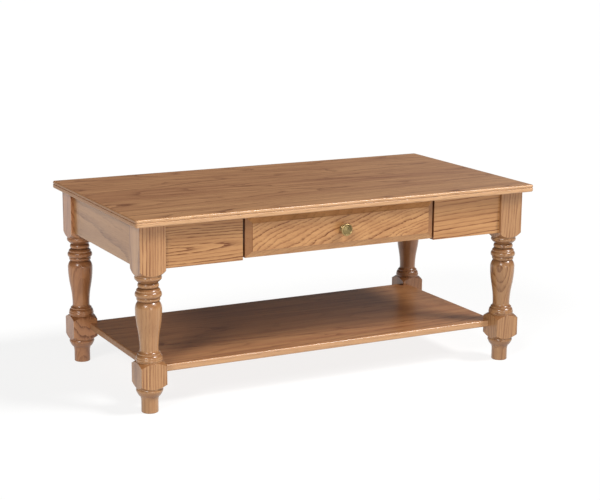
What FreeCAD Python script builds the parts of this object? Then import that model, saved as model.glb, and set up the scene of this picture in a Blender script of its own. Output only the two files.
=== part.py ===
import FreeCAD, Part
import os
from types import SimpleNamespace

import Sketcher

# Coffee table with one drawer: a top on four turned legs joined by tenoned aprons, a notched
# lower shelf, and a dovetailed drawer on wooden runners. Millimetres. X runs along the length,
# -Y is the drawer side, Z is up, and the origin is on the floor under the middle of the top.

DIMENSIONS = {
    # Table top
    "table_height": 460,
    "top_length": 1066,
    "top_width": 566,
    "top_thickness": 18,
    "top_corner_radius": 6,
    "top_edge_radius": 3.5,
    "top_bead_height": 6.5,
    "top_groove_width": 1.6,
    "top_groove_depth": 1.6,
    "top_groove_edge_radius": 1.2,
    # Legs: square stock, from the top down
    "leg_size": 63,
    "leg_edge_radius": 1.5,
    "leg_end_inset": 49,
    "leg_side_inset": 54,
    "upper_block_drop": 2,
    "upper_shoulder_height": 13.2,
    "shoulder_radius": 30.3,
    "shoulder_swell": 0.7,
    "quirk_height": 1.8,
    # Turning below the upper block: each element's height, end radius and swell
    "collar_height": 7.5,
    "collar_swell": 1.1,
    "ovolo_height": 8.4,
    "ovolo_swell": 0.2,
    "neck_radius": 21.4,
    "neck_bead_height": 11.9,
    "neck_bead_swell": 3.1,
    "flare_height": 5,
    "flare_radius": 27.6,
    "flare_swell": 0.8,
    "fillet_height": 2.9,
    "main_bead_height": 14.5,
    "main_bead_radius": 26.4,
    "main_bead_swell": 3.9,
    "under_bead_height": 8.5,
    "under_bead_radius": 24,
    "under_bead_swell": 1.8,
    "vase_shoulder_height": 17,
    "vase_radius": 30.8,
    "waist_radius": 21.3,
    # Turning above the lower block, from the waist down
    "base_cove_height": 8,
    "base_cove_radius": 26.2,
    "base_fillet_height": 2.7,
    "bell_height": 8.3,
    "bell_swell": 1.2,
    "base_ring_height": 6.5,
    "base_ring_swell": 0.9,
    # Lower block and foot
    "lower_block_height": 66,
    "lower_shoulder_height": 9.5,
    "foot_ring_height": 7.5,
    "foot_ring_swell": 1.1,
    "foot_ovolo_height": 9.3,
    "foot_ovolo_radius": 25,
    "foot_ovolo_swell": 0.4,
    "foot_step_height": 1.2,
    "foot_step_radius": 22.4,
    "foot_cove_height": 12.5,
    "foot_cove_swell": 0.6,
    "foot_height": 27,
    "foot_radius": 19.8,
    "foot_edge_radius": 2,
    # Aprons and their tenons
    "apron_height": 104,
    "apron_thickness": 18,
    "apron_recess": 8,
    "arris_radius": 1,
    "tenon_length": 25,
    "tenon_thickness": 9,
    "tenon_shoulder": 10,
    "mortise_end_gap": 1,
    "glue_gap": 0.05,
    # Rails above and below the drawer
    "rail_thickness": 18,
    "rail_depth": 30,
    "rail_tenon_width": 20,
    # Runners, guides, kickers and stops
    "runner_tenon_length": 8,
    "runner_tenon_width": 24,
    "guide_width": 14,
    "guide_height": 20,
    "guide_gap": 1,
    "running_gap": 0.3,
    "kick_gap": 2.2,
    "stop_length": 20,
    "stop_width": 11,
    "stop_height": 12,
    "stop_gap": 0.3,
    "stop_side_gap": 2,
    "drawer_left_in": 100,
    # Corner blocks
    "block_width": 30,
    "block_gap": 1,
    # Lower shelf
    "shelf_lift": 28.5,
    "shelf_thickness": 17,
    "shelf_end_reach": 19.5,
    "shelf_side_reach": 22.5,
    "shelf_edge_radius": 4,
    "dowel_radius": 4,
    "dowel_length": 40,
    # Drawer front
    "drawer_front_width": 507,
    "drawer_side_gap": 5.5,
    "drawer_front_lift": 5,
    "drawer_top_gap": 2.5,
    "field_rise": 8,
    "field_step": 1.2,
    "field_edge_radius": 0.8,
    "bevel_width": 15,
    # Drawer box
    "front_overlap": 13.5,
    "drawer_back_gap": 69,
    "box_front_thickness": 12,
    "box_side_thickness": 12,
    "box_back_thickness": 12,
    "back_setback": 8,
    "dado_depth": 5,
    "bottom_thickness": 5,
    "bottom_lift": 7.5,
    "bottom_groove_depth": 6,
    "tail_pitch": 20,
    "tail_width": 10,
    "tail_flare": 1.8,
    # Knob
    "knob_radius": 15,
    "knob_projection": 22,
    "knob_base_radius": 9,
    "knob_base_height": 1.6,
    "knob_neck_radius": 5.5,
    "knob_neck_height": 6,
    "knob_under_swell": 1.5,
    "knob_rim_height": 5.6,
    "knob_rim_swell": 1.1,
    "knob_ring_radius": 12.2,
    "knob_ring_drop": 1.4,
    "knob_dome_radius": 11,
    "knob_dome_height": 2.8,
    "knob_hole_end_gap": 2,
    # Screws
    "wood_screw_radius": 2,
    "screw_head_radius": 4,
    "screw_head_height": 3,
    "screw_hole_gap": 0.15,
    "screw_sink": 6,
    "top_screw_length": 23,
    "top_screw_inset": 25,
    "kicker_screw_inset": 69.5,
    "stop_screw_length": 20,
    "stop_screw_sink": 4,
    "front_screw_length": 26,
    "front_screw_inset": 58,
    "front_screw_edge_gap": 5.75,
    "bottom_screw_length": 18,
    "bottom_screw_inset": 48,
    "knob_screw_radius": 2,
    "knob_screw_bite": 9,
}

DIAGONAL = 2 ** 0.5
LEFT, RIGHT = 1, -1
FRONT, BACK = -1, 1
UP, FORWARD = (0, 0, 1), (0, -1, 0)
TOUCHING = 1e-4

doc = FreeCAD.newDocument("CoffeeTable")
sheet = doc.addObject("Spreadsheet::Sheet", "Dims")
for row, (alias, number) in enumerate(DIMENSIONS.items(), start=1):
    sheet.set(f"A{row}", alias)
    sheet.set(f"B{row}", str(number))
    sheet.setAlias(f"B{row}", alias)
doc.recompute()


class Size:
    """A length worked out from the sheet: its value and the expression that binds it there."""

    def __init__(self, value, text):
        self.value = value
        self.text = text

    def __add__(self, other):
        other = as_size(other)
        return Size(self.value + other.value, f"({self.text} + {other.text})")

    def __sub__(self, other):
        other = as_size(other)
        return Size(self.value - other.value, f"({self.text} - {other.text})")

    def __mul__(self, other):
        other = as_size(other)
        return Size(self.value * other.value, f"({self.text} * {other.text})")

    def __truediv__(self, other):
        other = as_size(other)
        return Size(self.value / other.value, f"({self.text} / {other.text})")

    def __neg__(self):
        return self * -1

    __rmul__ = __mul__


def as_size(number):
    """A plain number as a size, so that both can be used alike."""
    if isinstance(number, Size):
        return number
    return Size(float(number), f"({float(number)!r})")


def bind(thing, name, size):
    """Ties a property of an object to the sheet."""
    thing.setExpression(name, as_size(size).text)


def place(thing, x, y, z):
    """Ties an object's position to the sheet."""
    for axis, distance in zip("xyz", (x, y, z)):
        bind(thing, f"Placement.Base.{axis}", distance)


# Sketches

def sketch(body, plane, offset, name):
    """A sketch on one of the body's origin planes, moved along the plane's normal."""
    support = next(f for f in body.Origin.OriginFeatures if f.Role == plane)
    profile = body.newObject("Sketcher::SketchObject", f"{body.Name}_{name}_sketch")
    profile.AttachmentSupport = [(support, "")]
    profile.MapMode = "FlatFace"
    bind(profile, "AttachmentOffset.Base.z", offset)
    return profile


def measure(profile, size, *constraint):
    """Adds a dimension to a sketch and ties it to the sheet."""
    size = as_size(size)
    index = profile.addConstraint(Sketcher.Constraint(*constraint, size.value))
    profile.setExpression(f"Constraints[{index}]", size.text)


def pin(profile, edge, point, x, y):
    """Sets a sketch point at a distance from the sketch's origin."""
    measure(profile, x, "DistanceX", -1, 1, edge, point)
    measure(profile, y, "DistanceY", -1, 1, edge, point)


def arc_between(start, end, radius, side):
    """The shorter arc of a radius between two points, with its centre on one side of the way."""
    chord = end - start
    across = FreeCAD.Vector(-chord.y, chord.x, 0).normalize() * side
    middle = (start + end) / 2
    centre = middle + across * max(radius ** 2 - chord.Length ** 2 / 4, 0) ** 0.5
    circle_through = Part.Circle(centre, FreeCAD.Vector(0, 0, 1), radius)
    ends = (start, end) if side == LEFT else (end, start)
    return Part.ArcOfCircle(circle_through, *(circle_through.parameter(point) for point in ends))


def outline(profile, corners):
    """Draws a closed outline through corners (x, y). A corner (x, y, radius, side) is reached
    by an arc whose centre lies on that side of the way there."""
    first = profile.GeometryCount
    points = [FreeCAD.Vector(as_size(c[0]).value, as_size(c[1]).value, 0) for c in corners]
    joints = []
    for index, corner in enumerate(corners):
        start, end = points[index - 1], points[index]
        if len(corner) == 2:
            profile.addGeometry(Part.LineSegment(start, end), False)
            joints.append((1, 2))
        else:
            radius, side = corner[2:]
            profile.addGeometry(arc_between(start, end, radius.value, side), False)
            joints.append((1, 2) if side == LEFT else (2, 1))
    for index, corner in enumerate(corners):
        edge = first + index
        before = first + (index - 1) % len(corners)
        profile.addConstraint(
            Sketcher.Constraint("Coincident", before, joints[index - 1][1], edge, joints[index][0]))
        pin(profile, edge, joints[index][1], corner[0], corner[1])
        if len(corner) > 2:
            measure(profile, corner[2], "Radius", edge)


def rectangle(x, y):
    """Corners of a rectangle between two values of x and two of y."""
    return [(x[0], y[0]), (x[1], y[0]), (x[1], y[1]), (x[0], y[1])]


def rounded_rectangle(x, y, radius):
    """Corners of a rectangle of half sizes x and y about the origin, with rounded corners."""
    corners = []
    for to_x, to_y in ((1, -1), (1, 1), (-1, 1), (-1, -1)):
        along = (to_x * (x - radius), to_y * y)
        across = (to_x * x, to_y * (y - radius))
        first, last = (along, across) if to_x * to_y < 0 else (across, along)
        corners += [first, (*last, radius, LEFT)]
    return corners


def circles(profile, spots, radius):
    """Draws equal circles at the spots."""
    for x, y in spots:
        centre = FreeCAD.Vector(as_size(x).value, as_size(y).value, 0)
        edge = profile.addGeometry(Part.Circle(centre, FreeCAD.Vector(0, 0, 1), radius.value), False)
        pin(profile, edge, 3, x, y)
        measure(profile, radius, "Radius", edge)


# Features

nodes = []


def new_body(label, x=0, y=0, z=0, angle=0):
    """A sub-part's body, placed in the table and turned about the vertical."""
    body = doc.addObject("PartDesign::Body", label)
    body.Label = label
    body.Placement.Rotation = FreeCAD.Rotation(FreeCAD.Vector(0, 0, 1), angle)
    place(body, x, y, z)
    nodes.append(body)
    return body


def feature(body, kind, profile, name, **sizes):
    """Adds a feature to a body with its sizes tied to the sheet."""
    made = body.newObject(f"PartDesign::{kind}", f"{body.Name}_{name}")
    made.Profile = profile
    for size_name, size in sizes.items():
        bind(made, size_name, size)
    doc.recompute()
    return made


def cut(body, kind, profile, name, **sizes):
    """Adds a feature that removes material, and makes sure that it does."""
    before = body.Shape.Volume
    made = feature(body, kind, profile, name, **sizes)
    if body.Shape.Volume >= before:
        raise ValueError(f"{name} cuts nothing from {body.Label}")
    return made


def add_box(body, name, x, y, z):
    """A square-cornered block between two values along each axis."""
    profile = sketch(body, "XY_Plane", z[0], name)
    outline(profile, rectangle(x, y))
    feature(body, "Pad", profile, name, Length=z[1] - z[0])


def cut_box(body, name, x, y, z):
    """A square-cornered cut between two values along each axis."""
    profile = sketch(body, "XY_Plane", z[1], name)
    outline(profile, rectangle(x, y))
    cut(body, "Pocket", profile, name, Length=z[1] - z[0])


def bore(body, name, plane, spots, radius, start, end):
    """Round holes square to a plane, from start to end along the axis that it faces."""
    offset = -start if plane == "XZ_Plane" else end
    profile = sketch(body, plane, offset, name)
    circles(profile, spots, radius)
    cut(body, "Pocket", profile, name, Length=end - start)


def turn(body, kind, name, corners):
    """Turns an outline about the body's vertical axis, as on a lathe."""
    profile = sketch(body, "XZ_Plane", as_size(0), name)
    outline(profile, corners)
    made = body.newObject(f"PartDesign::{kind}", f"{body.Name}_{name}")
    made.Profile = profile
    made.ReferenceAxis = (profile, ["V_Axis"])
    made.Angle = 360
    doc.recompute()


def ease(body, name, radius, picked):
    """Rounds the edges that picked() chooses from the body so far."""
    base = body.Tip
    edges = [f"Edge{i}" for i, edge in enumerate(base.Shape.Edges, start=1) if picked(edge.BoundBox)]
    made = body.newObject("PartDesign::Fillet", f"{body.Name}_{name}")
    made.Base = (base, edges)
    bind(made, "Radius", radius)
    doc.recompute()


def is_level(box, height):
    """Whether an edge's box lies flat at a height."""
    return max(abs(box.ZMin - height), abs(box.ZMax - height)) < TOUCHING


def group(label, items):
    """A node of equal, separate solids."""
    made = doc.addObject("Part::Compound", label)
    made.Label = label
    made.Links = items
    nodes.append(made)


def pin_solid(name, spot, direction, radius, length):
    """A round bar from a spot along a direction."""
    bar = doc.addObject("Part::Cylinder", name)
    bind(bar, "Radius", radius)
    bind(bar, "Height", length)
    bar.Placement.Rotation = FreeCAD.Rotation(FreeCAD.Vector(0, 0, 1), FreeCAD.Vector(*direction))
    place(bar, *spot)
    return bar


def screws(label, spots, direction, length, radius):
    """Pan-head screws whose heads seat at the spots and whose shanks point along a direction."""
    made = []
    for index, spot in enumerate(spots):
        behind = [where - step * s.screw_head_height for where, step in zip(spot, direction)]
        screw = doc.addObject("Part::Fuse", f"{label}_{index}")
        screw.Base = pin_solid(f"{label}_{index}_shank", spot, direction, radius, length)
        screw.Tool = pin_solid(
            f"{label}_{index}_head", behind, direction, s.screw_head_radius, s.screw_head_height)
        made.append(screw)
    group(label, made)


# Sizes that follow from the sheet

s = SimpleNamespace(**{alias: Size(float(sheet.get(alias)), f"Dims.{alias}") for alias in DIMENSIONS})

leg_half = s.leg_size / 2
leg_height = s.table_height - s.top_thickness
leg_x = s.top_length / 2 - s.leg_end_inset
leg_y = s.top_width / 2 - s.leg_side_inset
inner_x = leg_x - leg_half
inner_y = leg_y - leg_half
ankle_height = s.foot_cove_height + s.foot_step_height + s.foot_ovolo_height + s.foot_ring_height
foot_top = s.foot_height + ankle_height

apron_bottom = leg_height - s.apron_height
upper_block_length = s.apron_height + s.upper_block_drop
apron_middle_x = leg_x + leg_half - s.apron_recess - s.apron_thickness / 2
apron_middle_y = leg_y + leg_half - s.apron_recess - s.apron_thickness / 2
apron_inner_x = apron_middle_x - s.apron_thickness / 2
apron_inner_y = apron_middle_y - s.apron_thickness / 2
mortise_depth = s.tenon_length + s.mortise_end_gap

rail_middle_y = apron_inner_y - s.rail_depth / 2
rail_back_y = apron_inner_y - s.rail_depth
rail_bottoms = {
    "front_rail_upper": leg_height - s.rail_thickness,
    "front_rail_lower": apron_bottom + s.drawer_front_lift,
}
opening_bottom = rail_bottoms["front_rail_lower"] + s.rail_thickness
opening_top = rail_bottoms["front_rail_upper"]
opening_half = s.drawer_front_width / 2 + s.drawer_side_gap

box_half = s.drawer_front_width / 2 - s.front_overlap
box_inner = box_half - s.box_side_thickness
box_front_y = -apron_inner_y
box_length = 2 * apron_inner_y - s.drawer_back_gap
box_bottom = opening_bottom + s.running_gap
box_height = opening_top - s.kick_gap - box_bottom
box_inside_back = box_length - s.back_setback - s.box_back_thickness
back_underside = s.bottom_lift + s.bottom_thickness

runner_outer = box_half + s.guide_gap + s.guide_width
runner_inner = box_inner - s.stop_side_gap - s.stop_width
runner_middle = (runner_outer + runner_inner) / 2
runner_front = -rail_back_y
runner_back = apron_inner_y
runner_tenon = s.rail_thickness / 2

shelf_bottom = foot_top + s.shelf_lift
shelf_middle = shelf_bottom + s.shelf_thickness / 2
dowel_x = inner_x + s.shelf_end_reach / 2

screw_hole = s.wood_screw_radius + s.screw_hole_gap
head_hole = s.screw_head_radius + s.screw_hole_gap


def both_ways(half, gap=0):
    """The two values at equal distances either side of zero."""
    return (-half - gap, half + gap)


def about(middle, width, gap=0):
    """The two values half a width and a gap either side of a middle."""
    return (middle - width / 2 - gap, middle + width / 2 + gap)


def block_sums(back):
    """Where a corner block's outer and inner faces lie on the diagonal, and its two walls."""
    outer = inner_x + inner_y - s.block_gap * DIAGONAL
    inner = outer - s.block_width * DIAGONAL
    return outer, inner, apron_inner_x, apron_inner_y if back else rail_back_y


def block_screw_spots(side, end):
    """The two screws of one corner block, on its middle line."""
    outer, inner, wall_x, wall_y = block_sums(end == BACK)
    middle = (outer + inner) / 2
    near_x = wall_x - s.top_screw_inset
    near_y = wall_y - s.top_screw_inset
    return [(side * near_x, end * (middle - near_x)), (side * (middle - near_y), end * near_y)]


def kicker_screw_spots(side):
    """The two screws of one kicker, at equal distances from its ends."""
    ends = (runner_front + s.kicker_screw_inset, runner_back - s.kicker_screw_inset)
    return [(side * runner_middle, y) for y in ends]


SIDES = {"left": -1, "right": 1}
ENDS = {"front": FRONT, "back": BACK}
top_screw_spots = [
    spot
    for side in SIDES.values()
    for spots in ([block_screw_spots(side, end) for end in ENDS.values()] + [kicker_screw_spots(side)])
    for spot in spots
]


# Table top: a rounded bead over a fine groove over a thicker rounded edge

def table_top():
    body = new_body("table_top", 0, 0, leg_height)
    half_x, half_y = s.top_length / 2, s.top_width / 2
    groove_top = s.top_thickness - s.top_bead_height
    groove_bottom = groove_top - s.top_groove_width
    layers = (
        ("edge", as_size(0), groove_bottom, as_size(0)),
        ("groove", groove_bottom, groove_top, s.top_groove_depth),
        ("bead", groove_top, s.top_thickness, as_size(0)),
    )
    for name, low, high, inset in layers:
        profile = sketch(body, "XY_Plane", low, name)
        corner = s.top_corner_radius - inset
        outline(profile, rounded_rectangle(half_x - inset, half_y - inset, corner))
        feature(body, "Pad", profile, name, Length=high - low)

    def is_outer(box):
        return is_level(box, 0) or is_level(box, s.top_thickness.value)

    def is_lip(box):
        reach = max(abs(box.XMin), abs(box.XMax)) / half_x.value
        reach = max(reach, max(abs(box.YMin), abs(box.YMax)) / half_y.value)
        at_lip = is_level(box, groove_bottom.value) or is_level(box, groove_top.value)
        return at_lip and reach > 1 - TOUCHING

    ease(body, "outer_rounding", s.top_edge_radius, is_outer)
    ease(body, "lip_rounding", s.top_groove_edge_radius, is_lip)
    bite = leg_height - opening_top - s.screw_sink
    bore(body, "pilot_holes", "XY_Plane", top_screw_spots, screw_hole,
         as_size(0), s.top_screw_length - bite + s.mortise_end_gap)


# Legs: square stock turned between the blocks and at the foot

def bulge(start, end, swell):
    """The radius of an arc between two points that stands off their chord by a swell."""
    across, along = end[0] - start[0], end[1] - start[1]
    return (across * across + along * along) / 8 / swell + swell / 2


def upright_arc(start, end):
    """The radius of an arc between two points that runs upright at one of them."""
    across, along = end[0] - start[0], end[1] - start[1]
    size = (across * across + along * along) / across / 2
    return size if size.value > 0 else -size


def level_arc(start, end):
    """The radius of an arc that rises from one point to run level at the other."""
    across, along = end[0] - start[0], end[1] - start[1]
    return (across * across + along * along) / along / 2


def beads(start, elements):
    """Corners of turned elements from a start point down: (height, end radius, swell)."""
    corners = []
    for height, radius, swell in elements:
        end = (radius, start[1] - height)
        if swell is None:
            corners.append(end)
        elif swell.value > 0:
            corners.append((*end, bulge(start, end, swell), RIGHT))
        else:
            corners.append((*end, bulge(start, end, -swell), LEFT))
        start = end
    return corners


def upper_turning():
    """The outline that the lathe cuts away between the upper and lower blocks."""
    corner = leg_half * DIAGONAL
    top = (corner, leg_height - upper_block_length)
    rings = beads(top, (
        (s.upper_shoulder_height, s.shoulder_radius, s.shoulder_swell),
        (s.quirk_height, s.shoulder_radius, None),
        (s.collar_height, s.shoulder_radius, s.collar_swell),
        (s.ovolo_height, s.neck_radius, s.ovolo_swell),
        (s.neck_bead_height, s.neck_radius, s.neck_bead_swell),
        (s.flare_height, s.flare_radius, s.flare_swell),
        (s.fillet_height, s.flare_radius, None),
        (s.main_bead_height, s.main_bead_radius, s.main_bead_swell),
        (s.under_bead_height, s.under_bead_radius, s.under_bead_swell),
    ))
    vase_top = rings[-1][:2]
    belly = (s.vase_radius, vase_top[1] - s.vase_shoulder_height)
    block_top = foot_top + s.lower_block_height
    base = s.base_ring_height + s.bell_height + s.base_fillet_height
    cove_end = (s.base_cove_radius, block_top + base)
    waist = (s.waist_radius, cove_end[1] + s.base_cove_height)
    swap = ((belly[0] + waist[0]) / 2, (belly[1] + waist[1]) / 2)
    taper = upright_arc(belly, swap)
    vase = [
        (*belly, upright_arc(vase_top, belly), RIGHT),
        (*swap, taper, RIGHT),
        (*waist, taper, LEFT),
        (*cove_end, upright_arc(waist, cove_end), LEFT),
    ]
    foot_of_vase = beads(cove_end, (
        (s.base_fillet_height, s.base_cove_radius, None),
        (s.bell_height, s.shoulder_radius, s.bell_swell),
        (s.base_ring_height, s.shoulder_radius, s.base_ring_swell),
        (s.quirk_height, s.shoulder_radius, None),
        (s.lower_shoulder_height, corner, None),
    ))
    outside = [(s.leg_size, foot_of_vase[-1][1]), (s.leg_size, top[1]), top]
    return rings + vase + foot_of_vase + outside


def foot_turning():
    """The outline that the lathe cuts away round the foot."""
    corner = leg_half * DIAGONAL
    top = (corner, foot_top + s.quirk_height + s.lower_shoulder_height)
    foot = beads(top, (
        (s.lower_shoulder_height, s.shoulder_radius, None),
        (s.quirk_height, s.shoulder_radius, None),
        (s.foot_ring_height, s.shoulder_radius, s.foot_ring_swell),
        (s.foot_ovolo_height, s.foot_ovolo_radius, s.foot_ovolo_swell),
        (s.foot_step_height, s.foot_step_radius, None),
        (s.foot_cove_height, s.foot_radius, -s.foot_cove_swell),
        (s.foot_height - s.foot_edge_radius, s.foot_radius, None),
    ))
    tip = (s.foot_radius - s.foot_edge_radius, as_size(0), s.foot_edge_radius, RIGHT)
    return foot + [tip, (s.leg_size, as_size(0)), (s.leg_size, top[1]), top]


def leg(label, side, end):
    body = new_body(label, side * leg_x, end * leg_y, 0)
    add_box(body, "stock", both_ways(leg_half), both_ways(leg_half), (as_size(0), leg_height))
    ease(body, "arrises", s.leg_edge_radius, lambda box: box.ZLength > leg_half.value)
    turn(body, "Groove", "vase", upper_turning())
    turn(body, "Groove", "foot", foot_turning())

    def inward(sign):
        return (-sign * leg_half, sign * (mortise_depth - leg_half))

    apron_z = (apron_bottom + s.tenon_shoulder - s.glue_gap,
               leg_height - s.tenon_shoulder + s.glue_gap)
    from_axis = leg_half - s.apron_recess - s.apron_thickness / 2
    for name, x, y in (
        ("side_mortise", about(side * from_axis, s.tenon_thickness, s.glue_gap), inward(end)),
        ("long_mortise", inward(side), about(end * from_axis, s.tenon_thickness, s.glue_gap)),
    ):
        cut_box(body, name, x, y, apron_z)
    if end == FRONT:
        rail_y = about(leg_y - rail_middle_y, s.rail_tenon_width, s.glue_gap)
        for name, bottom in rail_bottoms.items():
            rail_z = about(bottom + s.rail_thickness / 2, runner_tenon, s.glue_gap)
            cut_box(body, f"{name}_mortise", inward(side), rail_y, rail_z)
    deep = s.dowel_length / 2 + s.mortise_end_gap
    start, stop = (leg_half - deep, leg_half) if end == FRONT else (-leg_half, deep - leg_half)
    bore(body, "dowel_hole", "XZ_Plane", [(side * (dowel_x - leg_x), shelf_middle)],
         s.dowel_radius + s.glue_gap, start, stop)


# Aprons: boards tenoned into the legs

def apron(label, length, x, y, turned=0, tenons=(-1, 1)):
    body = new_body(label, x, y, apron_bottom, turned)
    add_box(body, "board", both_ways(length / 2), both_ways(s.apron_thickness / 2),
            (as_size(0), s.apron_height))
    ease(body, "arris", s.arris_radius, lambda box: is_level(box, 0) and box.XLength > box.YLength)
    for way in tenons:
        add_box(body, f"tenon_{way + 1}", (way * length / 2, way * (length / 2 + s.tenon_length)),
                both_ways(s.tenon_thickness / 2),
                (s.tenon_shoulder, s.apron_height - s.tenon_shoulder))
    return body


def aprons():
    for name, side in SIDES.items():
        apron(f"apron_{name}", 2 * inner_y, side * apron_middle_x, 0, turned=90)
        apron(f"apron_front_{name}", inner_x - opening_half,
              side * (inner_x + opening_half) / 2, -apron_middle_y, tenons=(side,))
    back = apron("apron_back", 2 * inner_x, 0, apron_middle_y)
    face = -s.apron_thickness / 2
    for rail, bottom in rail_bottoms.items():
        for name, side in SIDES.items():
            cut_box(back, f"{rail}_{name}_mortise",
                    about(side * runner_middle, s.runner_tenon_width, s.glue_gap),
                    (face, face + s.runner_tenon_length + s.mortise_end_gap),
                    about(bottom - apron_bottom + s.rail_thickness / 2, runner_tenon, s.glue_gap))


# Rails above and below the drawer, from leg to leg behind the front aprons

def front_rail(label, bottom):
    body = new_body(label, 0, -rail_middle_y, bottom)
    add_box(body, "board", both_ways(inner_x), both_ways(s.rail_depth / 2),
            (as_size(0), s.rail_thickness))
    for way in SIDES.values():
        add_box(body, f"tenon_{way + 1}", (way * inner_x, way * (inner_x + s.tenon_length)),
                both_ways(s.rail_tenon_width / 2), about(s.rail_thickness / 2, runner_tenon))
        cut_box(body, f"mortise_{way + 1}",
                about(way * runner_middle, s.runner_tenon_width, s.glue_gap),
                (s.rail_depth / 2 - s.runner_tenon_length - s.mortise_end_gap, s.rail_depth / 2),
                about(s.rail_thickness / 2, runner_tenon, s.glue_gap))


# Runners under the drawer and kickers over it, tenoned from rail to back apron

def cross_board(label, side, bottom):
    body = new_body(label, side * runner_middle, 0, bottom)
    add_box(body, "board", both_ways((runner_outer - runner_inner) / 2), (runner_front, runner_back),
            (as_size(0), s.rail_thickness))
    for name, y in (
        ("front_tenon", (runner_front - s.runner_tenon_length, runner_front)),
        ("back_tenon", (runner_back, runner_back + s.runner_tenon_length)),
    ):
        add_box(body, name, both_ways(s.runner_tenon_width / 2), y,
                about(s.rail_thickness / 2, runner_tenon))
    return body


def sunk_holes(body, spots, through, sink):
    """Screw holes up through a board, with their heads sunk in its underside."""
    bore(body, "screw_holes", "XY_Plane", spots, screw_hole, as_size(0), through)
    bore(body, "head_holes", "XY_Plane", spots, head_hole, as_size(0), sink)


drawer_travel = box_length - s.drawer_left_in
stop_back = box_front_y + box_inside_back - drawer_travel - s.stop_gap
stop_x = runner_inner + s.stop_width / 2
stop_y = stop_back - s.stop_length / 2


def drawer_supports(name, side):
    cross_board(f"drawer_runner_{name}", side, rail_bottoms["front_rail_lower"])
    guide = new_body(f"drawer_guide_{name}", side * (runner_outer - s.guide_width / 2), 0, opening_bottom)
    add_box(guide, "board", both_ways(s.guide_width / 2), (runner_front, runner_back),
            (as_size(0), s.guide_height))
    kicker = cross_board(f"drawer_kicker_{name}", side, opening_top)
    spots = [(as_size(0), y) for x, y in kicker_screw_spots(side)]
    sunk_holes(kicker, spots, s.rail_thickness, s.screw_sink)
    stop_bite = s.stop_screw_length - s.stop_height + s.stop_screw_sink + s.mortise_end_gap
    bore(kicker, "stop_screw_hole", "XY_Plane", [(side * (stop_x - runner_middle), stop_y)],
         screw_hole, as_size(0), stop_bite)
    stop = new_body(f"drawer_stop_{name}", side * stop_x, stop_y, opening_top - s.stop_height)
    add_box(stop, "board", both_ways(s.stop_width / 2), both_ways(s.stop_length / 2),
            (as_size(0), s.stop_height))
    sunk_holes(stop, [(as_size(0), as_size(0))], s.stop_height, s.stop_screw_sink)


# Corner blocks: flat gussets glued across the corners, which hold the top

def corner_block(label, side, end):
    outer, inner, wall_x, wall_y = block_sums(end == BACK)
    body = new_body(label, 0, 0, opening_top)
    profile = sketch(body, "XY_Plane", as_size(0), "gusset")
    corners = ((wall_x, outer - wall_x), (outer - wall_y, wall_y),
               (inner - wall_y, wall_y), (wall_x, inner - wall_x))
    outline(profile, [(side * x, end * y) for x, y in corners])
    feature(body, "Pad", profile, "gusset", Length=s.rail_thickness)
    sunk_holes(body, block_screw_spots(side, end), s.rail_thickness, s.screw_sink)


# Lower shelf: notched round the legs' lower blocks and dowelled to them

def lower_shelf():
    body = new_body("lower_shelf", 0, 0, shelf_bottom)
    half_x, half_y = inner_x + s.shelf_end_reach, inner_y + s.shelf_side_reach
    profile = sketch(body, "XY_Plane", as_size(0), "board")
    outline(profile, rectangle(both_ways(half_x), both_ways(half_y)))
    feature(body, "Pad", profile, "board", Length=s.shelf_thickness)
    ease(body, "edge_rounding", s.shelf_edge_radius, lambda box: box.ZLength < TOUCHING)
    middle = s.shelf_thickness / 2
    for side_name, side in SIDES.items():
        for end_name, end in ENDS.items():
            cut_box(body, f"{end_name}_{side_name}_notch", (side * inner_x, side * half_x),
                    (end * inner_y, end * half_y), (as_size(0), s.shelf_thickness))
            deep = inner_y - s.dowel_length / 2 - s.mortise_end_gap
            start, stop = (-inner_y, -deep) if end == FRONT else (deep, inner_y)
            bore(body, f"{end_name}_{side_name}_dowel_hole", "XZ_Plane",
                 [(side * dowel_x, middle)], s.dowel_radius + s.glue_gap, start, stop)


def shelf_dowels():
    dowels = []
    for side in SIDES.values():
        for end in ENDS.values():
            start = (side * dowel_x, end * inner_y - s.dowel_length / 2, shelf_middle)
            dowels.append(pin_solid(f"dowel_{len(dowels)}", start, (0, 1, 0),
                                    s.dowel_radius, s.dowel_length))
    group("shelf_dowels", dowels)


# Drawer: a raised front screwed to a dovetailed box

front_height = s.apron_height - s.drawer_front_lift - s.drawer_top_gap
front_bottom = rail_bottoms["front_rail_lower"]
knob_height = front_bottom + front_height / 2
front_screw_spots = [
    (x, z)
    for x in both_ways(box_inner - s.front_screw_inset)
    for z in (back_underside + s.front_screw_edge_gap, box_height - s.front_screw_edge_gap)
]
knob_hole = s.knob_screw_radius + s.screw_hole_gap
knob_hole_depth = s.knob_screw_bite + s.knob_hole_end_gap
bottom_screw_spots = [
    (step * (box_inner - s.bottom_screw_inset), box_inside_back + s.box_back_thickness / 2)
    for step in (-1, 0, 1)
]


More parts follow.
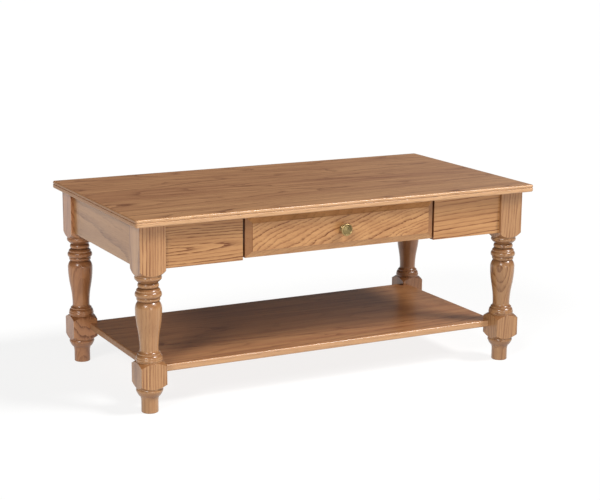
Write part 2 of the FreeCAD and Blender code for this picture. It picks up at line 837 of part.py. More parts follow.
def drawer_front():
    body = new_body("drawer_front", 0, box_front_y, front_bottom)
    half = s.drawer_front_width / 2

    def face(name, offset, margin):
        profile = sketch(body, "XZ_Plane", offset, name)
        outline(profile, rectangle(both_ways(half - margin), (as_size(margin), front_height - margin)))
        return profile

    bevel_top = s.apron_thickness + s.field_rise - s.field_step
    feature(body, "Pad", face("board", as_size(0), 0), "board", Length=s.apron_thickness)
    loft = body.newObject("PartDesign::AdditiveLoft", "drawer_front_bevel")
    loft.Profile = face("bevel_foot", s.apron_thickness, 0)
    loft.Sections = [face("bevel_head", bevel_top, s.bevel_width)]
    loft.Ruled = True
    doc.recompute()
    feature(body, "Pad", face("field", bevel_top, s.bevel_width), "field", Length=s.field_step)
    front_y = -(bevel_top + s.field_step).value
    ease(body, "field_edge", s.field_edge_radius, lambda box: abs(box.YMax - front_y) < TOUCHING)
    rise = box_bottom - front_bottom
    depth = s.front_screw_length - s.box_front_thickness + s.mortise_end_gap
    bore(body, "pilot_holes", "XZ_Plane", [(x, z + rise) for x, z in front_screw_spots],
         screw_hole, -depth, as_size(0))
    bore(body, "knob_hole", "XZ_Plane", [(as_size(0), front_height / 2)],
         knob_hole, -(s.apron_thickness + s.field_rise), as_size(0))


def tail_outline(middle, gap, thickness):
    """One dovetail seen from the side of the box: narrow at its root, wide at its tip."""
    root = s.tail_width / 2 + gap
    tip = root + s.tail_flare
    zero = as_size(0)
    return [(thickness, middle + root), (zero, middle + tip), (zero, middle - tip),
            (thickness, middle - root)]


tails = int(box_height.value // s.tail_pitch.value)
tail_middles = [box_height * (2 * index + 1) / (2 * tails) for index in reversed(range(tails))]
groove_z = (s.bottom_lift - s.glue_gap, back_underside + s.glue_gap)


def drawer_box_front():
    body = new_body("drawer_box_front", 0, box_front_y, box_bottom)
    add_box(body, "board", both_ways(box_half), (as_size(0), s.box_front_thickness),
            (as_size(0), box_height))
    for name, side in SIDES.items():
        offset = box_half if side > 0 else s.box_side_thickness + s.glue_gap - box_half
        profile = sketch(body, "YZ_Plane", offset, f"{name}_sockets")
        for middle in tail_middles:
            outline(profile, tail_outline(middle, s.glue_gap, s.box_front_thickness))
        cut(body, "Pocket", profile, f"{name}_sockets", Length=s.box_side_thickness + s.glue_gap)
    cut_box(body, "bottom_groove", both_ways(box_inner + s.bottom_groove_depth),
            (s.box_front_thickness - s.bottom_groove_depth, s.box_front_thickness), groove_z)
    bore(body, "screw_holes", "XZ_Plane", front_screw_spots, screw_hole,
         as_size(0), s.box_front_thickness)
    bore(body, "knob_hole", "XZ_Plane", [(as_size(0), knob_height - box_bottom)], knob_hole,
         as_size(0), s.box_front_thickness)


def drawer_side(label, side):
    body = new_body(label, 0, box_front_y, box_bottom)
    offset = box_inner if side > 0 else -box_half
    profile = sketch(body, "YZ_Plane", offset, "board")
    shoulder = s.box_front_thickness
    corners = [(shoulder, as_size(0)), (box_length, as_size(0)), (box_length, box_height),
               (shoulder, box_height)]
    for middle in tail_middles:
        corners += tail_outline(middle, 0, shoulder)
    outline(profile, corners)
    feature(body, "Pad", profile, "board", Length=s.box_side_thickness)
    rim = box_height.value
    ease(body, "arris", s.arris_radius, lambda box: is_level(box, rim) and box.YLength > box.XLength)
    cut_box(body, "bottom_groove", (side * box_inner, side * (box_inner + s.bottom_groove_depth)),
            (shoulder - s.bottom_groove_depth, box_length), groove_z)
    cut_box(body, "back_dado", (side * box_inner, side * (box_inner + s.dado_depth)),
            (box_inside_back - s.glue_gap, box_inside_back + s.box_back_thickness + s.glue_gap),
            (back_underside, box_height))


def drawer_back():
    body = new_body("drawer_back", 0, box_front_y + box_inside_back, box_bottom)
    add_box(body, "board", both_ways(box_inner + s.dado_depth - s.glue_gap),
            (as_size(0), s.box_back_thickness), (back_underside, box_height))
    spots = [(x, y - box_inside_back) for x, y in bottom_screw_spots]
    bite = s.bottom_screw_length - s.bottom_thickness + s.mortise_end_gap
    bore(body, "pilot_holes", "XY_Plane", spots, screw_hole, back_underside, back_underside + bite)


def drawer_bottom():
    body = new_body("drawer_bottom", 0, box_front_y, box_bottom)
    tongue = s.bottom_groove_depth - s.glue_gap
    add_box(body, "panel", both_ways(box_inner + tongue),
            (s.box_front_thickness - tongue, box_length), (s.bottom_lift, back_underside))
    bore(body, "screw_holes", "XY_Plane", bottom_screw_spots, screw_hole,
         s.bottom_lift, back_underside)


# Knob: a turned brass disc with a raised ring round a low dome

def drawer_knob():
    body = new_body("drawer_knob", 0, -apron_inner_y - s.apron_thickness - s.field_rise, knob_height)
    body.Placement.Rotation = FreeCAD.Rotation(FreeCAD.Vector(0, 0, 1), FreeCAD.Vector(*FORWARD))
    base = (s.knob_base_radius, s.knob_base_height)
    neck = (s.knob_neck_radius, s.knob_base_height + s.knob_neck_height)
    rim = (s.knob_radius, s.knob_projection - s.knob_rim_height)
    ring = (s.knob_ring_radius, s.knob_projection - s.knob_ring_drop)
    dome = (s.knob_dome_radius, s.knob_projection - s.knob_dome_height)
    zero = as_size(0)
    top = (zero, s.knob_projection)
    turn(body, "Revolution", "disc", [
        (knob_hole, zero),
        (s.knob_base_radius, zero),
        base,
        (*neck, upright_arc(base, neck), RIGHT),
        (*rim, bulge(neck, rim, s.knob_under_swell), RIGHT),
        (*ring, bulge(rim, ring, s.knob_rim_swell), LEFT),
        dome,
        (*top, level_arc(dome, top), LEFT),
        (zero, knob_hole_depth),
        (knob_hole, knob_hole_depth),
    ])


def fasteners():
    seat = opening_top + s.screw_sink
    screws("top_screws", [(x, y, seat) for x, y in top_screw_spots], UP,
           s.top_screw_length, s.wood_screw_radius)
    stop_seat = opening_top - s.stop_height + s.stop_screw_sink
    screws("stop_screws", [(side * stop_x, stop_y, stop_seat) for side in SIDES.values()], UP,
           s.stop_screw_length, s.wood_screw_radius)
    inside_front = box_front_y + s.box_front_thickness
    screws("drawer_front_screws", [(x, inside_front, z + box_bottom) for x, z in front_screw_spots],
           FORWARD, s.front_screw_length, s.wood_screw_radius)
    screws("drawer_bottom_screws",
           [(x, y + box_front_y, box_bottom + s.bottom_lift) for x, y in bottom_screw_spots], UP,
           s.bottom_screw_length, s.wood_screw_radius)
    reach = s.box_front_thickness + s.apron_thickness + s.field_rise + s.knob_screw_bite
    screws("knob_screw", [(as_size(0), inside_front, knob_height)], FORWARD, reach, s.knob_screw_radius)


table_top()
for side_name, side in SIDES.items():
    for end_name, end in ENDS.items():
        leg(f"leg_{end_name}_{side_name}", side, end)
        corner_block(f"corner_block_{end_name}_{side_name}", side, end)
aprons()
for label, bottom in rail_bottoms.items():
    front_rail(label, bottom)
for side_name, side in SIDES.items():
    drawer_supports(side_name, side)
    drawer_side(f"drawer_side_{side_name}", side)
lower_shelf()
shelf_dowels()
drawer_front()
drawer_box_front()
drawer_back()
drawer_bottom()
drawer_knob()
fasteners()
doc.recompute()

for item in doc.Objects:
    if {"Invalid", "Error"} & set(item.State):
        raise ValueError(f"{item.Label} failed: {item.State}")
for node in nodes:
    if node.Shape.isNull() or not node.Shape.isValid() or not node.Shape.Solids:
        raise ValueError(f"{node.Label} has no valid solid")

os.makedirs("parts", exist_ok=True)
for node in nodes:
    node.Shape.exportStep(f"parts/{node.Label}.step")
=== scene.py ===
from dataclasses import dataclass, replace
from math import cos, radians, sin

import bpy
from mathutils import Matrix, Vector


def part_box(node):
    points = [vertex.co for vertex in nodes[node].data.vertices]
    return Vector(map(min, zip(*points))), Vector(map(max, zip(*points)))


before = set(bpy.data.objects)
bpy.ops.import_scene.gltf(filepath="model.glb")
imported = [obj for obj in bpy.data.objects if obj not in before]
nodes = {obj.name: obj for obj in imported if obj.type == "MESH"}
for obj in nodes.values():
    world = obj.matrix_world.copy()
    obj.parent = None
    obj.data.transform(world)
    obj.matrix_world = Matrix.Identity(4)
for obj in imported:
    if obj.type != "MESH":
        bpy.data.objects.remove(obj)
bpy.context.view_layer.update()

# Looks of an oak coffee table with one drawer. Metres, +X along the table, -Y the drawer side, +Z up.

MM = 0.001


# Shader nodes

PLACE, MAPPING = "ShaderNodeTexCoord", "ShaderNodeMapping"
SPLIT, JOIN = "ShaderNodeSeparateXYZ", "ShaderNodeCombineXYZ"
MATH, VECTOR, RANGE = "ShaderNodeMath", "ShaderNodeVectorMath", "ShaderNodeMapRange"
NOISE, CHANCE = "ShaderNodeTexNoise", "ShaderNodeTexWhiteNoise"
MIX, RAMP = "ShaderNodeMix", "ShaderNodeValToRGB"


def linear(hex_colour):
    """An sRGB hex colour as the linear colour that shaders use."""
    channels = [int(hex_colour[i:i + 2], 16) / 255 for i in (1, 3, 5)]
    return (*(c / 12.92 if c <= 0.04045 else ((c + 0.055) / 1.055) ** 2.4 for c in channels), 1)


def plug(node, inputs):
    """Sets a node's inputs, each to a value or to another node's output."""
    for key, value in inputs.items():
        if isinstance(value, bpy.types.NodeSocket):
            node.id_data.links.new(value, node.inputs[key])
        else:
            node.inputs[key].default_value = value


def add(tree, kind, inputs=None, output=0, stops=(), **settings):
    """Adds a shader node with its settings, inputs and, on a ramp, stops, and gives one of its outputs."""
    node = tree.nodes.new(kind)
    for name, value in settings.items():
        setattr(node, name, value)
    for _ in stops[2:]:    # A new ramp has two
        node.color_ramp.elements.new(0.5)
    for number, (place, brightness) in enumerate(stops):
        node.color_ramp.elements[number].position = place
        node.color_ramp.elements[number].color = (brightness, brightness, brightness, 1)
    plug(node, inputs or {})
    return node.outputs[output]


def new_material(name):
    """An empty material: its node tree and its surface shader."""
    material = bpy.data.materials.new(name)
    material.use_nodes = True
    return material, material.node_tree, material.node_tree.nodes["Principled BSDF"]


def dress(material, *names):
    """Gives CAD nodes a material."""
    for name in names:
        nodes[name].data.materials.clear()
        nodes[name].data.materials.append(material)


# Timber: a board is cut from a log, so its rings are circles about a pith that lies off the board

@dataclass
class Timber:
    """A kind of timber: its colours between and in the rings, and how strongly they show."""
    late: str
    streak: str
    early: str
    pore: str
    # The pale colour of the edges: partly wear, partly a painted sheen where light catches them
    wear_and_sheen: str
    ring_strength: float
    pore_strength: float
    roughness: float
    coat: float


@dataclass
class Cut:
    """How a board lies in the table and in its log, in millimetres and degrees."""
    along: tuple            # The way of the grain in the table
    across: tuple           # The way of the board's width
    pith: tuple             # Where the log's heart lies, across the board and out from its face
    lean: tuple = (0, 0)    # How far the log leans from the board, the same two ways
    ring: float = 10        # The width of a year
    wobble: float = 8       # How far the rings stray in long waves
    ripple: float = 2.5     # And in short ones
    line: float = 1         # How wide the dark part of a year is
    figure: float = 1       # How strongly it shows
    tone: float = 1         # How light the board is
    soak: float = 0.5       # How much stain its ends take
    edge: float = 0         # How pale its edges are painted: partly wear, partly a painted sheen on their roundings
    vase: float = 0.25      # How much of the figure shows on a leg's turnings
    spells: float = 0       # How faint the lines are in poor spells of years
    staves: int = 1         # How many staves the board is glued from
    turned: bool = False    # Whether it is turned on a lathe
    seed: float = 0


# Pattern sizes in millimetres: across the grain and along it
PORE_WIDTH, PORE_LENGTH = 1.4, 26      # Real pores are 0.3 mm wide; drawn coarser so that they show
BREAK_WIDTH, BREAK_LENGTH = 2.4, 55
STREAK_WIDTH, STREAK_LENGTH = 16, 480
WAVE_WIDTH, WAVE_LENGTH = 80, 300
RIPPLE_WIDTH, RIPPLE_LENGTH = 16, 60
SPELL_WIDTH, SPELL_DRIFT = 30, 7       # A spell of good or poor years, and how far it shifts its rings
STAVE_SHIFT = (3000, 90, 60)           # How far staves may lie apart in a log: along, across and out

# A year from its dark open pores to the pale wood after them, and how much weaker poor years are
YEAR_STOPS = ((0, 1), (0.14, 0.95), (0.3, 0.35), (0.55, 0.03), (0.9, 0))
POOR_YEAR, YEAR_CURVE = 0.4, 1.5
POOR_SPELL = {"From Min": 0.4, "From Max": 0.58}

# Where in its noise each pattern begins and is full
BREAKS = {"From Min": 0.36, "From Max": 0.54, "To Min": 0.2}
PORES = {"From Min": 0.52, "From Max": 0.68}
STREAKS = {"From Min": 0.3, "From Max": 0.7}
PORES_BETWEEN_RINGS = 0.25              # How much pores show in the pale part of a year
STAVE_SHARE, STREAK_SHARE = 0.4, 0.7    # What staves and streaks give a glued panel's colour

# How far a surface faces along the grain where end grain begins and is full, and how fast it hides the rings
END_GRAIN = {"From Min": 0.12, "From Max": 0.6}
END_GRAIN_FADE = 1.4
# How far it faces out of the board: bevels are sanded more, so their lines are faint, and edges are painted
# pale, partly for wear and partly as a painted sheen
RIM = {"From Min": 0.96, "From Max": 0.99, "To Min": 0.3}
ROUNDED_EDGE = {"From Min": 0.6, "From Max": 0.95, "To Max": 0.0}

# Up a leg from foot to lower block, vase and upper block: darker at the foot, the lower block and the
# turnings than at the upper block, and the turnings show less grain
LEG_TONES = ((0, 0.82), (0.135, 0.9), (0.275, 0.86), (0.735, 1))
LEG_BLOCKS = ((0, 0), (0.135, 1), (0.275, 0), (0.735, 1))
PAINTED_SHADE_REACH = 9
PAINTED_SHADE_SAMPLES = 8
PAINTED_COVE_SHADE = {"From Min": 0.35, "From Max": 0.85, "To Min": 0.5}    # Painted shade: how dark the coves of the turnings are made

# Satin lacquer: a clear film that sinks a little into the pores and more into the ends
LACQUER_IOR, LACQUER_ROUGHNESS = 1.41, 0.16
PORE_DEPTH, PORE_BUMP, PORE_ROUGHNESS = 0.2, 0.25, 0.15
END_ROUGHNESS = 0.3


def timber(name, wood, cut, node):
    """Gives a board a material of its own, cut from its log as told, with its pattern centred on it."""
    material, tree, shader = new_material(name)
    low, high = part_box(node)
    axes = board_axes(cut)
    size = axes.transposed() @ (high - low) / MM
    board = add(tree, MAPPING, {
        "Vector": add(tree, PLACE, output="Object"), "Location": (low + high) / 2,
        "Rotation": axes.to_euler(), "Scale": (MM, MM, MM),
    }, vector_type="TEXTURE")
    stave, stave_tone = board, None
    if cut.staves > 1:
        stave, stave_tone = glued_staves(tree, board, cut, abs(size.y))
    log = add(tree, MAPPING, {
        "Vector": stave, "Location": (0, *cut.pith),
        "Rotation": (0, radians(cut.lean[1]), radians(cut.lean[0])),
    }, vector_type="TEXTURE")

    rings = growth_rings(tree, log, cut)
    if cut.turned:
        height = add(tree, SPLIT, {0: board}, "X")
        height = add(tree, MATH, {0: height, 1: 1 / abs(size.x), 2: 0.5}, operation="MULTIPLY_ADD")
        blocks = add(tree, RAMP, {"Fac": height}, stops=LEG_BLOCKS)
        blocks.node.color_ramp.interpolation = "CONSTANT"
        shown = add(tree, RANGE, {"Value": blocks, "To Min": cut.vase})
        rings = add(tree, MATH, {0: rings, 1: shown}, operation="MULTIPLY")
    pores = grain_noise(tree, log, cut, PORE_LENGTH, PORE_WIDTH, detail=1.0)
    pores = add(tree, RANGE, {"Value": pores, **PORES})
    pored = add(tree, MATH, {0: rings, 1: 1 - PORES_BETWEEN_RINGS, 2: PORES_BETWEEN_RINGS},
                operation="MULTIPLY_ADD")
    pores = add(tree, MATH, {0: pores, 1: pored}, operation="MULTIPLY")
    streaks = grain_noise(tree, log, cut, STREAK_LENGTH, STREAK_WIDTH, detail=3.0)
    streaks = add(tree, RANGE, {"Value": streaks, **STREAKS})
    if stave_tone is not None:
        streaks = add(tree, MATH, {0: streaks, 1: STREAK_SHARE}, operation="MULTIPLY")
        streaks = add(tree, MATH, {0: stave_tone, 1: STAVE_SHARE, 2: streaks},
                      operation="MULTIPLY_ADD", use_clamp=True)

    normal = add(tree, "ShaderNodeNewGeometry", output="Normal")
    ended = add(tree, VECTOR, {0: normal, 1: cut.along}, "Value", operation="DOT_PRODUCT")
    ended = add(tree, MATH, {0: ended}, operation="ABSOLUTE")
    end_grain = add(tree, RANGE, {"Value": ended, **END_GRAIN})
    faced = add(tree, VECTOR, {0: normal, 1: axes.col[2]}, "Value", operation="DOT_PRODUCT")
    faced = add(tree, MATH, {0: faced}, operation="ABSOLUTE")
    plain = add(tree, MATH, {0: end_grain, 1: -END_GRAIN_FADE, 2: 1.0}, operation="MULTIPLY_ADD",
                use_clamp=True)
    rings = add(tree, MATH, {0: rings, 1: plain}, operation="MULTIPLY")
    if not cut.turned:
        rims = add(tree, RANGE, {"Value": faced, **RIM})
        rings = add(tree, MATH, {0: rings, 1: rims}, operation="MULTIPLY")

    def stain(hex_colour):
        """A colour of the wood, as light as this board is."""
        return (*(channel * cut.tone for channel in linear(hex_colour)[:3]), 1)

    # Edges painted paler: partly wear, partly a painted sheen where their roundings catch the light
    wear_and_sheen = add(tree, RANGE, {"Value": faced, "To Min": cut.edge, **ROUNDED_EDGE})
    dark = add(tree, MATH, {0: rings, 1: wood.ring_strength * cut.figure}, operation="MULTIPLY")
    open_pores = add(tree, MATH, {0: pores, 1: wood.pore_strength}, operation="MULTIPLY")
    soaked = add(tree, MATH, {0: end_grain, 1: cut.soak}, operation="MULTIPLY")
    colour = stain(wood.late)
    for share, layer in ((streaks, stain(wood.streak)), (wear_and_sheen, linear(wood.wear_and_sheen)), (dark, stain(wood.early)),
                         (open_pores, stain(wood.pore)), (soaked, stain(wood.early))):
        colour = add(tree, MIX, {"Factor": share, "A": colour, "B": layer}, "Result", data_type="RGBA")
    if cut.turned:
        # Painted shade: the coves of a turned leg are darkened where its own shape hides them from the light
        cove_shading_ao = add(tree, "ShaderNodeAmbientOcclusion", {"Distance": PAINTED_SHADE_REACH * MM}, "AO",
                     only_local=True, samples=PAINTED_SHADE_SAMPLES)
        shade = add(tree, RANGE, {"Value": cove_shading_ao, **PAINTED_COVE_SHADE})
        tones = add(tree, RAMP, {"Fac": height}, stops=LEG_TONES)
        tones.node.color_ramp.interpolation = "CONSTANT"
        shade = add(tree, MATH, {0: shade, 1: tones}, operation="MULTIPLY")
        colour = add(tree, VECTOR, {0: colour, "Scale": shade}, operation="SCALE")

    rough = wood.roughness
    if not cut.turned:
        rough = add(tree, MATH, {0: end_grain, 1: END_ROUGHNESS, 2: rough}, operation="MULTIPLY_ADD")
    rough = add(tree, MATH, {0: pores, 1: PORE_ROUGHNESS, 2: rough}, operation="MULTIPLY_ADD")
    bump = add(tree, "ShaderNodeBump", {"Strength": PORE_BUMP, "Distance": PORE_DEPTH * MM, "Height": pores},
               invert=True)
    plug(shader, {"Base Color": colour, "Roughness": rough, "Normal": bump, "IOR": LACQUER_IOR,
                  "Coat Weight": wood.coat, "Coat Roughness": LACQUER_ROUGHNESS})
    dress(material, node)


def board_axes(cut):
    """The board's own axes in the table, as the columns of a turn."""
    along, across = Vector(cut.along), Vector(cut.across)
    return Matrix((along, across, along.cross(across))).transposed()


def glued_staves(tree, board, cut, width):
    """Splits a panel into staves glued edge to edge and turned about, each from its own log, with a tone."""
    stave = width / cut.staves
    place = add(tree, SPLIT, {0: board}).node.outputs
    count = add(tree, MATH, {0: place["Y"], 1: stave}, operation="DIVIDE")
    count = add(tree, MATH, {0: count, 1: cut.staves / 2 + cut.seed}, operation="ADD")
    index = add(tree, MATH, {0: count}, operation="FLOOR")
    chance = add(tree, CHANCE, {"W": index}, noise_dimensions="1D").node.outputs
    within = add(tree, MATH, {0: count}, operation="FRACT")
    across = add(tree, MATH, {0: within, 1: stave, 2: -stave / 2}, operation="MULTIPLY_ADD")
    odd = add(tree, MATH, {0: index, 1: 2.0}, operation="MODULO")
    way = add(tree, MATH, {0: odd, 1: 2.0, 2: -1.0}, operation="MULTIPLY_ADD")
    along = add(tree, MATH, {0: place["X"], 1: way}, operation="MULTIPLY")
    own = add(tree, JOIN, {0: along, 1: across, 2: place["Z"]})
    middle = [-reach / 2 for reach in STAVE_SHIFT]
    shift = add(tree, VECTOR, {0: chance["Color"], 1: STAVE_SHIFT, 2: middle}, operation="MULTIPLY_ADD")
    return add(tree, VECTOR, {0: own, 1: shift}, operation="ADD"), chance["Value"]


def grain_noise(tree, log, cut, length, width, detail=2.0):
    """Noise drawn out along the log."""
    place = add(tree, VECTOR, {0: log, 1: (1 / length, 1 / width, 1 / width)}, operation="MULTIPLY")
    return add(tree, NOISE, {"Vector": place, "W": cut.seed, "Scale": 1.0, "Detail": detail}, "Fac",
               noise_dimensions="4D")


def growth_rings(tree, log, cut):
    """The dark lines of the years, wavy, uneven and broken, as a strength from 0 to 1."""
    flat = add(tree, VECTOR, {0: log, 1: (0, 1, 1)}, operation="MULTIPLY")
    radius = add(tree, VECTOR, {0: flat}, "Value", operation="LENGTH")
    for stray, length, width in ((cut.wobble, WAVE_LENGTH, WAVE_WIDTH),
                                 (cut.ripple, RIPPLE_LENGTH, RIPPLE_WIDTH)):
        wave = add(tree, MATH, {0: grain_noise(tree, log, cut, length, width), 1: stray * 2, 2: -stray},
                   operation="MULTIPLY_ADD")
        radius = add(tree, MATH, {0: radius, 1: wave}, operation="ADD")
    climate = add(tree, MATH, {0: radius, 1: SPELL_WIDTH}, operation="DIVIDE")
    climate = add(tree, NOISE, {"W": climate, "Scale": 1.0}, "Fac", noise_dimensions="1D")
    drift = add(tree, MATH, {0: climate, 1: SPELL_DRIFT * 2, 2: -SPELL_DRIFT}, operation="MULTIPLY_ADD")
    radius = add(tree, MATH, {0: radius, 1: drift}, operation="ADD")
    year = add(tree, MATH, {0: radius, 1: cut.ring}, operation="DIVIDE")
    number = add(tree, MATH, {0: year}, operation="FLOOR")
    number = add(tree, MATH, {0: number, 1: cut.seed}, operation="ADD")
    vigour = add(tree, CHANCE, {"W": number}, "Value", noise_dimensions="1D")
    vigour = add(tree, MATH, {0: vigour, 1: YEAR_CURVE}, operation="POWER")
    vigour = add(tree, MATH, {0: vigour, 1: 1 - POOR_YEAR, 2: POOR_YEAR}, operation="MULTIPLY_ADD")
    spell = add(tree, RANGE, {"Value": climate, "To Min": 1 - cut.spells, **POOR_SPELL})
    vigour = add(tree, MATH, {0: vigour, 1: spell}, operation="MULTIPLY")
    season = add(tree, MATH, {0: year}, operation="FRACT")
    stops = [(place * cut.line, darkness) for place, darkness in YEAR_STOPS]
    rings = add(tree, RAMP, {"Fac": season}, stops=stops)
    rings = add(tree, MATH, {0: rings, 1: vigour}, operation="MULTIPLY")
    broken = add(tree, RANGE, {"Value": grain_noise(tree, log, cut, BREAK_LENGTH, BREAK_WIDTH), **BREAKS})
    return add(tree, MATH, {0: rings, 1: broken}, operation="MULTIPLY")


# Plain-sawn red oak under satin lacquer: honey tan with thin dark open-pored lines each year
OAK = Timber(late="#BE8D5B", streak="#A9774A", early="#683309", pore="#5C2E0A", wear_and_sheen="#D0A87F",
             ring_strength=1.0, pore_strength=0.6, roughness=0.33, coat=0.2)
# The same oak where the boards are wide: its heartwood is redder, and on the top its pores are more open
TOP_OAK = replace(OAK, late="#C29060", streak="#94603B", pore_strength=0.9)
SHELF_OAK = replace(OAK, late="#C38F5F", streak="#955F3B")
# And where it is turned: duller, because the stain soaks into its cut fibres
LEG_OAK = replace(OAK, late="#BA8C5F", streak="#A5764D", coat=0.35)
# The back legs get a redder copy of it: painted shade, for the redder look of the wood in the shade at the
# back
BACK_LEG_OAK = replace(LEG_OAK, late="#C1885A", streak="#AC7249")
# Poplar under a thin seal: pale, close-grained and dull
POPLAR = Timber(late="#D8C4A0", streak="#C9B48C", early="#B89F76", pore="#A48A62", wear_and_sheen="#E0CFB0",
                ring_strength=0.5, pore_strength=0.2, roughness=0.55, coat=0.0)
# Birch plywood under a thin seal: creamy, with faint broad figure
BIRCH = Timber(late="#E3CFA8", streak="#D9C196", early="#C9AC7D", pore="#B89A6C", wear_and_sheen="#EADABB",
               ring_strength=0.45, pore_strength=0.12, roughness=0.5, coat=0.0)
# Beech dowel rod, bare: pinkish tan with short fine flecks
BEECH = Timber(late="#D2A679", streak="#C79A6C", early="#B5855A", pore="#9A6D45", wear_and_sheen="#DDB58C",
               ring_strength=0.35, pore_strength=0.5, roughness=0.6, coat=0.0)

RIGHT, BACK, UP = (1, 0, 0), (0, 1, 0), (0, 0, 1)
LEFT, FRONT = (-1, 0, 0), (0, -1, 0)

TOP_BOARD = {
    "table_top": Cut(RIGHT, BACK, pith=(0, -120), lean=(0.6, 2.4), ring=8, wobble=12, line=0.6,
                     figure=1.5, tone=1.08, soak=0.4, edge=0.55, spells=0.35, staves=5, seed=4),
}
SHELF_BOARD = {
    "lower_shelf": Cut(RIGHT, BACK, pith=(0, -120), lean=(-0.5, 2), ring=8, wobble=12, line=0.6,
                       figure=1.2, tone=0.85, soak=0.4, edge=0.4, spells=0.5, staves=4, seed=7),
}
NARROW_BOARDS = {
    "apron_front_left": Cut(RIGHT, UP, pith=(-12, 2), lean=(0, 4), ring=6.5, wobble=4,
                            figure=1.3, tone=0.95, seed=1),
    "apron_front_right": Cut(RIGHT, UP, pith=(-200, -60), lean=(2.5, 0), ring=11, wobble=6, ripple=3,
                             line=0.75, figure=1.3, soak=0.85, seed=2),
    "drawer_front": Cut(RIGHT, UP, pith=(-170, -215), lean=(0, -17.5), ring=7, wobble=12, ripple=3.5,
                        figure=1.15, soak=0.85, seed=3),
    "apron_left": Cut(FRONT, UP, pith=(-60, -140), lean=(0, 2), ring=12, figure=0.5, tone=0.84, seed=4),
    "apron_right": Cut(BACK, UP, pith=(20, -70), lean=(1, 3), ring=9, seed=5),
    "apron_back": Cut(LEFT, UP, pith=(-20, -60), lean=(0.5, 2), ring=9, seed=6),
}
FRONT_LEGS = {
    "leg_front_left": Cut(UP, RIGHT, pith=(-170, 0), lean=(0.6, 0), ring=7, wobble=2, ripple=1.3,
                          figure=1.3, tone=1.05, vase=0.3, turned=True, seed=8),
    "leg_front_right": Cut(UP, RIGHT, pith=(75, 65), lean=(3, -1), ring=6, figure=1.05, tone=0.91,
                           vase=1, turned=True, seed=9),
}
BACK_LEGS = {
    "leg_back_left": Cut(UP, RIGHT, pith=(10, 70), lean=(0, 12), ring=6, wobble=5, figure=1.2, tone=0.9,
                         vase=0.6, turned=True, seed=10),
    # This back leg is made darker than the others: painted shade, for the shade it stands in under the table
    "leg_back_right": Cut(UP, RIGHT, pith=(-60, 50), lean=(2, 4), ring=8, wobble=5, figure=0.6, tone=0.6,
                          turned=True, seed=11),
}
for wood, boards in ((TOP_OAK, TOP_BOARD), (SHELF_OAK, SHELF_BOARD), (OAK, NARROW_BOARDS),
                     (LEG_OAK, FRONT_LEGS), (BACK_LEG_OAK, BACK_LEGS)):
    for node_name, cut in boards.items():
        timber(f"lacquered_red_oak_{node_name}", wood, cut, node_name)

POPLAR_BOARDS = {
    "front_rail_upper": RIGHT, "front_rail_lower": RIGHT, "drawer_box_front": RIGHT, "drawer_back": RIGHT,
    **{f"{piece}_{side}": BACK for side in ("left", "right")
       for piece in ("drawer_runner", "drawer_guide", "drawer_kicker", "drawer_stop", "drawer_side")},
    **{f"corner_block_{end}_{side}": RIGHT for end in ("front", "back") for side in ("left", "right")},
}
FIRST_POPLAR_SEED = 20
for seed, (node_name, along) in enumerate(POPLAR_BOARDS.items(), start=FIRST_POPLAR_SEED):
    flat_cut = Cut(along, UP, pith=(-90, -70), lean=(0, 1), ring=6, seed=seed)
    timber(f"sealed_poplar_{node_name}", POPLAR, flat_cut, node_name)

rotary_cut = Cut(RIGHT, BACK, pith=(40, -60), lean=(0, 4), ring=14, wobble=14)
timber("birch_plywood_drawer_bottom", BIRCH, rotary_cut, "drawer_bottom")
dowel_cut = Cut(BACK, UP, pith=(-90, -70), ring=3)
timber("beech_shelf_dowels", BEECH, dowel_cut, "shelf_dowels")


# Metals

# Sizes in millimetres: the raised ring out from the knob's middle, the lacquer's spots and the zinc's bloom
KNOB_RING = {"From Min": 10.5, "From Max": 13.5}
LACQUER_SPOT = 4
ZINC_BLOOM = 2


def antique_brass():
    """Turned brass under dull brown lacquer, darker inside the raised ring, which is painted paler: partly
    wear, partly a painted highlight.
    """
    material, tree, shader = new_material("antique_brass")
    low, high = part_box("drawer_knob")
    knob = add(tree, MAPPING, {"Vector": add(tree, PLACE, output="Object"), "Location": (low + high) / 2,
                               "Scale": (MM, MM, MM)}, vector_type="TEXTURE")
    spots = add(tree, NOISE, {"Vector": knob, "Scale": 1 / LACQUER_SPOT, "Detail": 3.0}, "Fac")
    lacquer = add(tree, MIX, {"Factor": spots, "A": linear("#A99568"), "B": linear("#6C5E3B")}, "Result",
                  data_type="RGBA")
    round_axis = add(tree, VECTOR, {0: knob, 1: (1, 0, 1)}, operation="MULTIPLY")
    radius = add(tree, VECTOR, {0: round_axis}, "Value", operation="LENGTH")
    # The raised ring painted paler: partly wear, partly a painted highlight
    wear_and_sheen = add(tree, RANGE, {"Value": radius, **KNOB_RING})
    colour = add(tree, MIX, {"Factor": wear_and_sheen, "A": lacquer, "B": linear("#AC9467")}, "Result",
                 data_type="RGBA")
    plug(shader, {"Base Color": colour, "Metallic": 1.0, "Roughness": 0.42})
    return material


def zinc_steel():
    """Zinc-plated steel: pale grey with a faint bloom."""
    material, tree, shader = new_material("zinc_plated_steel")
    place = add(tree, PLACE, output="Object")
    bloom = add(tree, NOISE, {"Vector": place, "Scale": 1 / (ZINC_BLOOM * MM), "Detail": 2.0}, "Fac")
    colour = add(tree, MIX, {"Factor": bloom, "A": linear("#B9BBBD"), "B": linear("#9FA2A6")}, "Result",
                 data_type="RGBA")
    plug(shader, {"Base Color": colour, "Metallic": 1.0, "Roughness": 0.32})
    return material


dress(antique_brass(), "drawer_knob")
dress(zinc_steel(), "top_screws", "stop_screws", "drawer_front_screws", "drawer_bottom_screws", "knob_screw")


# Studio

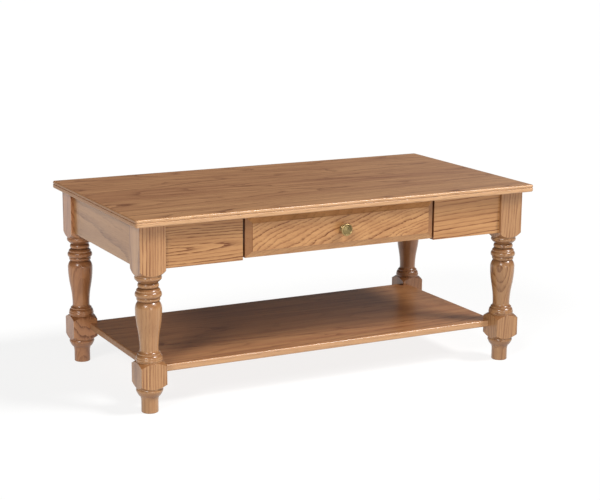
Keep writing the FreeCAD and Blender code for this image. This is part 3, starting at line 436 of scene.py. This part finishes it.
FLOOR_SIZE, FLOOR_GLOW = 400, 0.83
SOFTBOX_WIDTH = 16    # Degrees, as seen from the table
SOFTBOXES = {
    # Azimuth, elevation and strength; azimuth 0 is in front and turns to the right
    "right_softbox": (50, 50, 2.95),
    "left_softbox": (-50, 34, 1.53),
    "front_fill": (0, 10, 0.66),
}
ROOM_GLOW = {"From Min": 0.35, "From Max": 0.75, "To Min": 0.13, "To Max": 0.0}    # Fades out overhead
WALL_AZIMUTH, WALL_ELEVATION, WALL_GLOW = 130, 14, 0.2
WALL_EDGE, WALL_MIDDLE = 24, 10    # Degrees off its middle where it fades out and is full
WHITE = linear("#FFFFFF")


def direction(azimuth, elevation):
    """The way to a light or wall as seen from the table."""
    turn, rise = radians(azimuth), radians(elevation)
    return Vector((sin(turn) * cos(rise), -cos(turn) * cos(rise), sin(rise)))


def studio_floor():
    """A plain pale floor that fills the view, lit from below so that its shadows stay light."""
    bpy.ops.mesh.primitive_plane_add(size=FLOOR_SIZE)
    floor = bpy.context.object
    floor.name = "studio_floor"
    material, _, shader = new_material("back_lit_white_acrylic")
    plug(shader, {"Base Color": linear("#737372"), "Roughness": 0.9, "Specular IOR Level": 0.0,
                  "Emission Color": WHITE, "Emission Strength": FLOOR_GLOW})
    floor.data.materials.append(material)


def studio_lights():
    """Far soft lights, each as wide as a big softbox looks from the table."""
    for name, (azimuth, elevation, strength) in SOFTBOXES.items():
        lamp = bpy.data.lights.new(name, "SUN")
        lamp.angle = radians(SOFTBOX_WIDTH)
        lamp.energy = strength
        light = bpy.data.objects.new(name, lamp)
        light.rotation_euler = (-direction(azimuth, elevation)).to_track_quat("-Z", "Y").to_euler()
        bpy.context.scene.collection.objects.link(light)


def studio_room():
    """A dim room with a pale wall at the back right; its glow fades out overhead, off the polished top."""
    world = bpy.data.worlds.new("studio_room")
    bpy.context.scene.world = world
    world.use_nodes = True
    tree = world.node_tree
    way = add(tree, PLACE, output="Generated")
    glow = add(tree, RANGE, {"Value": add(tree, SPLIT, {0: way}, "Z"), **ROOM_GLOW},
               interpolation_type="SMOOTHSTEP")
    wall = direction(WALL_AZIMUTH, WALL_ELEVATION)
    near = add(tree, VECTOR, {0: way, 1: wall}, "Value", operation="DOT_PRODUCT")
    pale = add(tree, RANGE, {"Value": near, "From Min": cos(radians(WALL_EDGE)),
                             "From Max": cos(radians(WALL_MIDDLE)), "To Max": WALL_GLOW},
               interpolation_type="SMOOTHSTEP")
    both = add(tree, MATH, {0: glow, 1: pale}, operation="ADD")
    plug(tree.nodes["Background"], {"Color": WHITE, "Strength": both})


studio_floor()
studio_lights()
studio_room()
bpy.context.scene.view_settings.view_transform = "Standard"


# Camera, solved from the table's own corners and feet in the photograph's 600 by 500 frame

IMAGE_WIDTH, FOCAL_PIXELS, SENSOR_WIDTH = 600, 1513.7, 36
CAMERA_PLACE = (-1.7184, -3.3202, 1.1156)
CAMERA_YAW, CAMERA_PITCH, CAMERA_ROLL = 27.654, 12.493, 0.429

lens = bpy.data.cameras.new("photo_camera")
lens.sensor_width = SENSOR_WIDTH
lens.lens = FOCAL_PIXELS / IMAGE_WIDTH * SENSOR_WIDTH
camera = bpy.data.objects.new("photo_camera", lens)
camera.matrix_world = (
    Matrix.Translation(CAMERA_PLACE)
    @ Matrix.Rotation(radians(-CAMERA_YAW), 4, "Z")
    @ Matrix.Rotation(radians(90 - CAMERA_PITCH), 4, "X")
    @ Matrix.Rotation(radians(CAMERA_ROLL), 4, "Z")
)
bpy.context.scene.collection.objects.link(camera)
bpy.context.scene.camera = camera
